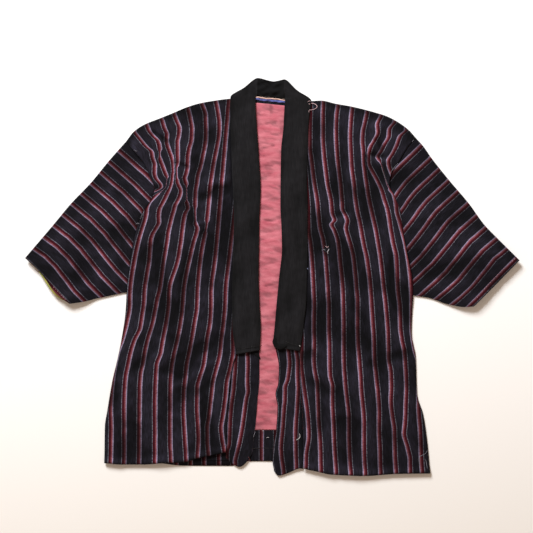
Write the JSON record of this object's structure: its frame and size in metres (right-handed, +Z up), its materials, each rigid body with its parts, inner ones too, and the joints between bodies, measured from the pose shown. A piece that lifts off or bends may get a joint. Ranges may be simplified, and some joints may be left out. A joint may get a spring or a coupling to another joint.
{
  "type": "noragi jacket",
  "caption": "Striped cotton noragi work jacket laid out flat, front up, with a plain black collar band, tapered sleeves and a pink lining showing down the open front.",
  "frame": {"origin": "middle of the laid-out jacket, on the surface that it lies on", "axes": "+X to the viewer's right across the sleeves, +Y from the hem to the collar, +Z up out of the front"},
  "size_m": [1.0345, 0.8342, 0.0074],
  "materials": {
    "striped_cotton": "matte",
    "collar_cotton": "matte",
    "pink_lining": "matte",
    "salmon_piping": "matte",
    "blue_piping": "matte",
    "green_lining": "matte"
  },
  "bodies": {
    "root": {"left_body": "striped_cotton", "right_body": "striped_cotton", "left_gore": "striped_cotton", "right_gore": "striped_cotton", "left_sleeve": "striped_cotton", "right_sleeve": "striped_cotton", "hem_facing": "striped_cotton", "collar": "collar_cotton", "back_lining": "pink_lining", "neck_piping_salmon": "salmon_piping", "neck_piping_blue": "blue_piping", "left_cuff_lining": "green_lining"}
  },
  "joints": []
}
